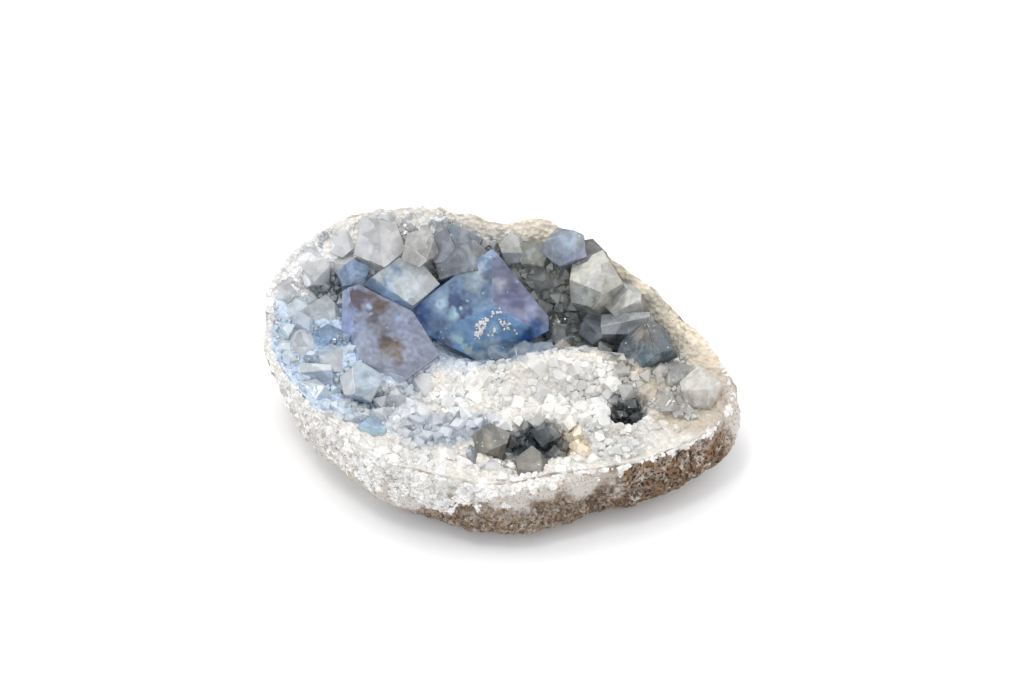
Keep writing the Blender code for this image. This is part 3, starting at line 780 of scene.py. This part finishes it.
# Cloudy areas in the large crystals, by the crystal's number, with painted glints, a painted streak and glow
# of light, painted sheen and a painted flash among them. Each has its middle (x, y, z), its radius, how soft
# its edge is (0 to 1) and its colour, and is laid over those before it.
BLOTCHES = {
    0: (
        (-19, 16, 30, 7, 0.9, "#4c74a6"), (-16, 17.6, 32.6, 4, 0.8, "#a6c0d4"),
        (-11.6, 16.4, 33.4, 5, 0.5, "#33486f"), (-13.4, 14.4, 31, 2, 0.6, "#a9d2e2"),
        # The two small pale cyan spots on the next line are painted glints.
        (-11, 15.2, 32.6, 1, 0.3, "#baf2ff"), (-9.4, 16.6, 34.2, 0.7, 0.3, "#baf2ff"),
        (-22, 16.8, 29.4, 4, 0.8, "#254b8a"), (-6.8, 20.8, 38.8, 4.6, 0.7, "#a4b6c6"),
        (-3, 20.5, 39.8, 2.6, 0.6, "#57667e"), (-0.5, 18.9, 37.8, 3, 0.8, "#a5a9b6"),
        (3, 17, 34.4, 4.6, 0.7, "#62668a"), (4.6, 16, 32.4, 2.6, 0.9, "#544c68"),
        (7.8, 15.2, 30.6, 2.8, 0.8, "#a2aaca"), (9.8, 13.4, 27.4, 3.6, 0.8, "#2c4f8e"),
        (-17.4, 12, 26.6, 4.6, 0.8, "#3c5d8a"), (-14.2, 11.2, 24.6, 2.2, 0.7, "#57607e"),
        # The five small pale cyan spots below paint a glassy streak of light, and the pale teal one after
        # them paints light glowing in the tip.
        (-12.2, 11.5, 25.4, 2.2, 0.7, "#8fc0e0"), (-12.6, 11.6, 25.6, 0.7, 0.3, "#b4dcec"),
        (-11.4, 11.3, 24.2, 0.9, 0.3, "#b8e8f8"), (-10.2, 11, 22.6, 0.8, 0.3, "#b0e4f4"),
        (-9, 10.6, 21, 1, 0.3, "#c6e2e8"), (-7.8, 10.6, 20.6, 0.6, 0.3, "#b0e4f4"),
        (-6, 10, 18.4, 3.6, 0.8, "#cdeef2"), (-2.7, 11.4, 23.6, 4.6, 0.8, "#b4d4ea"),
        (2, 11, 22, 3.4, 0.8, "#86b0d8"), (7.4, 11.8, 24.6, 4, 0.8, "#214a86")),
    1: (
        (-38.6, 15, 36, 4, 0.5, "#5c5058"), (-34, 13.6, 34.4, 3.6, 0.5, "#62524a"),
        # The two small pale blue spots on the next line are painted glints.
        (-36, 14, 34.8, 1.4, 0.3, "#a9bdff"), (-35.2, 11.8, 33.4, 0.8, 0.3, "#b4c4ff"),
        (-33.2, 9.2, 31.6, 4.4, 0.8, "#82828e"), (-34.6, 10.8, 32.8, 2, 0.6, "#605c62"),
        (-29.4, 4.2, 28.4, 4.8, 0.6, "#695a4e"), (-31, 5.8, 29.6, 3, 0.6, "#544a42"),
        # The small pale blue spot that is second on the next line is a painted glint.
        (-26, 9.6, 31, 4, 0.9, "#8c94b2"), (-27.6, 11.6, 32, 1.4, 0.3, "#9cb2ee"),
        (-37.6, 5, 30, 4.6, 0.9, "#9fa9be"), (-34, -0.5, 26.4, 5, 0.9, "#969ca8"),
        (-42, 10, 32, 5, 0.9, "#869ac8")),
    2: (
        (-27.6, 20.4, 36.2, 5, 0.9, "#daf0f0"), (-29, 24.5, 38.6, 3.6, 0.9, "#8ba2ba"),
        (-32.6, 18.6, 34.5, 5, 0.9, "#7f9bbd")),
    4: (
        # The first spot is a painted flash of light.
        (-31.5, 29.5, 42, 4, 0.7, "#f6fbff"), (-34.8, 29, 42.5, 2.4, 0.7, "#cfc9c4")),
    9: (
        # The first spot is a painted sheen on a shining face.
        (17, 31, 42, 3.4, 0.7, "#a9c4f2"), (20.5, 28.5, 38.5, 3, 0.8, "#7d88b8")),
    10: (
        (24, 22.5, 34, 4.4, 0.8, "#e4e8e2"),),
    12: (
        # The second spot lightens the top as a painted sheen.
        (38, 4, 25, 5, 0.9, "#4c666f"), (39, 9, 30.5, 5, 0.9, "#8e8478")),
    14: (
        (-2.6, -21.5, 21.5, 3.6, 0.9, "#d6cab4"),),
    15: (
        (7.6, -30.5, 21.5, 3, 0.9, "#cdbfa2"),),
}


def blotched(number, look, colour, point):
    """A large crystal's colour at a point on one of its faces: streaked, cloudy and blotched."""
    away = Vector((3.0 * number, look, 0.0))
    own = large_place(LARGE_CRYSTALS[number]).inverted() @ point
    light = 1.06
    # Faces differ in lightness, as painted light and shade, apart from the first three crystals', which
    # differ in colour.
    if number > 2:
        light += 0.26 * sin(7.0 * number + 3.1 * look)
    light += 0.3 * noise.noise(point / 5.0 + away)
    along = Vector((own.x / 9.0, own.y, own.z)) if look == 1 else Vector((own.x, own.y, own.z / 9.0))
    light += 0.4 * noise.noise(along / 1.1 + away)
    wave = 0.7 * noise.noise(point / 3.0 + away) + 0.3 * noise.noise(point / 1.1)
    for *middle, radius, soft, tone in BLOTCHES.get(number, ()):
        reach = (point - Vector(middle)).length / radius
        share = max(0.0, min(1.0, (1.0 + wave - reach) / soft))
        colour = mixed(colour, linear(tone), share)
    return [min(0.98, 1.2 * (part * light) ** 0.85) for part in colour]


class GEODE_OT_bruise(bpy.types.Operator):
    """Scatters the white crumbs of the deep blue crystal's bruised corner"""
    bl_idname = "geode.bruise"
    bl_label = "Bruise"

    def execute(self, context):
        chance = random.Random(SEED)
        grains = template_crystals(chance, 8, True)
        normal = Vector((0.0, -0.8, 0.6))
        bm = bmesh.new()
        for *chip, crumbs in CHIPS:
            for _ in range(crumbs):
                aside = Vector([chance.gauss(0.0, 0.7) for _ in range(3)])
                aside -= normal * aside.dot(normal)
                plant(bm, chance.choice(grains), aside + normal, chance.uniform(0, 360), Vector(chip) + aside,
                      chance.uniform(0.2, 0.8), linear("#f3eeea"))
        finish_piece("bruise", bm, crystal_finish("sugary"))
        bpy.data.batch_remove(grains)
        return {"FINISHED"}


def fine_mesh(block, size):
    """Divides a mesh until its edges are about this many millimetres long, six times at most."""
    bmesh.ops.triangulate(block, faces=block.faces)
    for _ in range(6):
        long = [edge for edge in block.edges if edge.calc_length() > size]
        bmesh.ops.subdivide_edges(block, edges=long, cuts=1)
        bmesh.ops.triangulate(block, faces=block.faces)


def paint(block, looks, number, crystal):
    """Colours a large crystal's mesh. Each corner has the colour of its own face, so edges stay crisp."""
    block.verts.index_update()
    tint = block.loops.layers.float_color.new("tint")
    painted = {}
    for face in block.faces:
        look = face[looks]
        colour = linear(crystal.tints.get(look, crystal.colour))
        for loop in face.loops:
            spot = (look, loop.vert.index)
            if spot not in painted:
                painted[spot] = blotched(number, look, colour, loop.vert.co)
            loop[tint] = (*painted[spot], 1.0)


class GEODE_OT_large_crystals(bpy.types.Operator):
    """Grows the large crystals, each cut by its own flat faces, with worn edges and a clouded body"""
    bl_idname = "geode.large_crystals"
    bl_label = "Large Crystals"

    def execute(self, context):
        settings = context.scene.geode_crystals
        for number, crystal in enumerate(LARGE_CRYSTALS):
            flats = [face_normal(*flat[:2]) for flat in crystal.faces]
            block = cut_block(crystal.length, ((0, 180, crystal.length), *crystal.faces))
            wear_edges(block, settings.bevel)
            looks = block.faces.layers.int.new("look")
            for face in block.faces:
                near = [flat.dot(face.normal) for flat in flats]
                face[looks] = near.index(max(near))
            bmesh.ops.transform(block, matrix=large_place(crystal), verts=block.verts)
            # The plain clear crystals have fewer clouds, so theirs are painted less finely.
            fine_mesh(block, settings.paint * (1.8 if crystal.kind == "clear" else 1.0))
            tuck_in(block)
            paint(block, looks, number, crystal)
            finish_piece(f"crystal_{number:02d}", block, crystal_finish(crystal.kind))
        return {"FINISHED"}


def template_crystals(chance, count, grains):
    """Small crystals of unit width: sugar grains, or the chisels and tables that celestite grows as."""
    meshes = []
    for number in range(count):
        if grains:
            faces = [
                (look + chance.uniform(-12, 12), lean + chance.uniform(-10, 10), chance.uniform(0.36, 0.5))
                for look, lean in ((0, 0), (0, 90), (90, 90), (180, 90), (270, 90))]
            faces += [
                (chance.uniform(0, 360), chance.uniform(35, 75), chance.uniform(0.42, 0.54))
                for _ in range(6)]
        else:
            height, width = chance.uniform(0.45, 0.8), chance.uniform(0.38, 0.5)
            faces = [
                (0, chance.uniform(22, 44), height), (180, chance.uniform(22, 44), height), (52, 90, width),
                (128, 90, 0.45), (232, 90, width), (308, 90, 0.45)]
            if number % 2:
                faces += [(look, 51, height * chance.uniform(0.8, 1.0)) for look in (90, 270)]
        block = cut_block(1.2, [(0, 180, 0.5 if grains else 1.0), *faces])
        if not grains:
            wear_edges(block, 0.02)
        meshes.append(as_mesh("template", block))
    return meshes


def plant(bm, template, way, spin, place, width, colour):
    """Adds a small crystal to a mesh."""
    mesh = template.copy()
    mesh.transform(pointing(way.normalized(), spin, place) @ Matrix.Scale(width, 4))
    layer = mesh.attributes.new("tint", "FLOAT_COLOR", "POINT")
    layer.data.foreach_set("color", [*colour, 1.0] * len(mesh.vertices))
    bm.from_mesh(mesh)
    bpy.data.meshes.remove(mesh)


def crowds(x, y, width, taken):
    """Whether a small crystal would stand too near to one in place. taken holds those, cell by cell."""
    column, row = int(x // CELL), int(y // CELL)
    return any(
        hypot(x - other_x, y - other_y) < CROWDING * (width + other_width)
        for i in (-1, 0, 1) for j in (-1, 0, 1)
        for other_x, other_y, other_width in taken.get((column + i, row + j), ()))


def grow_patch(patch, count, chance, templates, taken):
    """The small crystals of a patch, as one mesh."""
    bm = bmesh.new()
    turn = radians(patch.turn)
    most_blue = 0.04 if patch.kind == "sugary" else 0.1
    for _ in range(count):
        look, share = chance.uniform(0, tau), sqrt(chance.random())
        along = patch.half_length * share * cos(look)
        across = patch.half_width * share * sin(look)
        x = patch.x + along * cos(turn) - across * sin(turn)
        y = patch.y + along * sin(turn) + across * cos(turn)
        width = patch.smallest * (patch.largest / patch.smallest) ** (chance.random() ** 1.6)
        lean = Vector((chance.uniform(-LEAN, LEAN), chance.uniform(-LEAN, LEAN), 0.0))
        spin, template = chance.uniform(0, 360), chance.choice(templates)
        light, blue = chance.uniform(0.8, 1.15), chance.uniform(0.0, most_blue)
        angle, reach = plan_place(x, y)
        # The right of the rim stays bare, and nowhere does a crystal hang over the rim.
        bare_rim = 0.13 * max(0.0, cos(angle - radians(25)))
        if reach > 1.0 - 0.35 * width / rim_width(angle) - bare_rim or crowds(x, y, width, taken):
            continue
        place = Vector((x, y, bed_height(x, y)))
        if any(inside(crystal, place, 0.2 * width) for crystal in LARGE_CRYSTALS):
            continue
        taken.setdefault((int(x // CELL), int(y // CELL)), []).append((x, y, width))
        # Crystals are paler than the crust between them, most of all near the rim.
        paler = 0.5 if reach > 0.9 else 0.6
        # Their colour is drawn from the crust's, painted shade included.
        colour = [min(0.97, part**paler * light) for part in ground_colour(x, y)]
        colour = [colour[0] * (1 - blue), colour[1] * (1 - 0.4 * blue), colour[2]]
        out = Vector((cos(angle), sin(angle), 0.0))
        way = bed_normal(x, y) + lean
        # A crystal whose root would come out through the wall stands upright instead.
        if plan_place(*(place - way.normalized() * width).xy)[1] > 0.97:
            way = UP + out * (0.2 + max(0.0, lean.dot(out))) + 0.3 * lean
        plant(bm, template, way, spin, place, width, colour)
    tuck_in(bm)
    return bm


def grow_wall(count, chance, grains):
    """The sugar grains that coat the upper wall, low down at the left and thin at the right, as one mesh."""
    bm = bmesh.new()
    palest, darkest = (linear(colour) for colour in GRAIN_COLOURS)
    for _ in range(count):
        angle, turn = radians(chance.uniform(*GRAIN_ARC)), 0.02 + 1.3 * chance.random() ** 1.2
        width = GRAIN_WIDTH * GRAIN_RANGE ** (chance.random() ** 2.4)
        place = wall_point(angle, turn)
        lean = Vector([chance.uniform(-LEAN, LEAN) for _ in range(3)])
        spin, template, shade = chance.uniform(0, 360), chance.choice(grains), chance.random()
        # They reach far down at the left and little at the right, and fade out towards the back.
        lowest = max(0.18, min(1.1, 0.42 - 0.75 * cos(angle)))
        lowest *= min(1.0, (degrees(angle) - 145) / 40)
        if turn > lowest + 0.5 * noise.noise(place / 4.0):
            continue
        if turn > 0.14 and (place - STAIN).length < STAIN_CLEARANCE:
            continue
        way = (wall_point(angle + 0.02, turn) - place).cross(wall_point(angle, turn - 0.02) - place)
        place -= GRAIN_DEPTH * width * way.normalized()
        plant(bm, template, way.normalized() + lean, spin, place, width, mixed(palest, darkest, shade**2))
    return bm


class GEODE_OT_small_crystals(bpy.types.Operator):
    """Grows the small crystals, patch by patch, clear of the large ones and crowded as in a druse"""
    bl_idname = "geode.small_crystals"
    bl_label = "Small Crystals"

    def execute(self, context):
        share = context.scene.geode_crystals.share
        chance = random.Random(SEED)
        chisels = template_crystals(chance, TEMPLATES, False)
        grains = template_crystals(chance, TEMPLATES, True)
        taken = {}
        for patch in PATCHES:
            templates = grains if patch.kind == "sugary" else chisels
            bm = grow_patch(patch, round(patch.count * share), chance, templates, taken)
            if bm.verts:
                finish_piece("crystals_" + patch.name, bm, crystal_finish(patch.kind))
        bm = grow_wall(round(GRAIN_COUNT * share), chance, grains)
        finish_piece("crystals_wall", bm, crystal_finish("sugary"))
        bpy.data.batch_remove(chisels + grains)
        return {"FINISHED"}


def hang_lamp(name, place, size, power, colour):
    """Puts a lamp in the scene, turned towards the geode."""
    light = bpy.data.lights.new(name, "AREA")
    light.shape = "DISK"
    light.size = size
    light.energy = power
    light.color = linear(colour)
    body = add_object(name, light)
    body.location = place
    body.rotation_euler = (LAMP_AIM - Vector(place)).to_track_quat("-Z", "Y").to_euler()


class GEODE_OT_stage(bpy.types.Operator):
    """Sets the pale floor, the soft studio light and the camera"""
    bl_idname = "geode.stage"
    bl_label = "Stage"

    def execute(self, context):
        settings = context.scene.geode_stage
        bm = bmesh.new()
        bmesh.ops.create_grid(bm, x_segments=1, y_segments=1, size=3.0)
        floor = add_object("floor", as_mesh("floor", bm))
        paper = new_material("matt_white_paper", {"Base Color": (*settings.floor, 1.0), "Roughness": 0.9})[0]
        floor.data.materials.append(paper)

        world = bpy.data.worlds.new("studio")
        context.scene.world = world
        world.use_nodes = True
        sky = world.node_tree.nodes["Background"]
        sky.inputs["Color"].default_value = (*linear(SKY), 1.0)
        sky.inputs["Strength"].default_value = SKY_STRENGTH
        for lamp in LAMPS:
            hang_lamp(*lamp)

        rise = settings.rise
        camera = bpy.data.cameras.new("camera")
        camera.lens = settings.lens
        camera.sensor_width = 36.0
        body = add_object("camera", camera)
        body.location = CAMERA_AIM + Vector((0, -cos(rise), sin(rise))) * settings.distance
        body.rotation_euler = (pi / 2 - rise, 0, 0)
        context.scene.camera = body
        context.scene.view_settings.view_transform = "Standard"
        return {"FINISHED"}


class GEODE_PT_panel(bpy.types.Panel):
    """Lists the geode's settings and operators"""
    bl_label = "Celestite Geode"
    bl_idname = "GEODE_PT_panel"
    bl_space_type = "VIEW_3D"
    bl_region_type = "UI"
    bl_category = "Geode"

    def draw(self, context):
        for name, (group, *operators) in GROUPS.items():
            box = self.layout.box()
            for setting in group.__annotations__:
                box.prop(getattr(context.scene, name), setting)
            for operator in operators:
                box.operator(operator.bl_idname)


# Each group of settings, with the operators that read it.
GROUPS = {
    "geode_rock": (GeodeRockSettings, GEODE_OT_rock),
    "geode_druse": (GeodeDruseSettings, GEODE_OT_druse),
    "geode_crystals": (
        GeodeCrystalSettings, GEODE_OT_large_crystals, GEODE_OT_bruise, GEODE_OT_small_crystals),
    "geode_stage": (GeodeStageSettings, GEODE_OT_stage),
}
CLASSES = (*(item for group in GROUPS.values() for item in group), GEODE_PT_panel)


def register():
    for item in CLASSES:
        bpy.utils.register_class(item)
    for name, group in GROUPS.items():
        setattr(bpy.types.Scene, name, PointerProperty(type=group[0]))


def unregister():
    for name in GROUPS:
        delattr(bpy.types.Scene, name)
    for item in reversed(CLASSES):
        bpy.utils.unregister_class(item)


def main():
    register()
    bpy.ops.geode.rock()
    bpy.ops.geode.druse()
    bpy.ops.geode.large_crystals()
    bpy.ops.geode.bruise()
    bpy.ops.geode.small_crystals()
    bpy.ops.geode.stage()


if __name__ == "__main__":
    main()
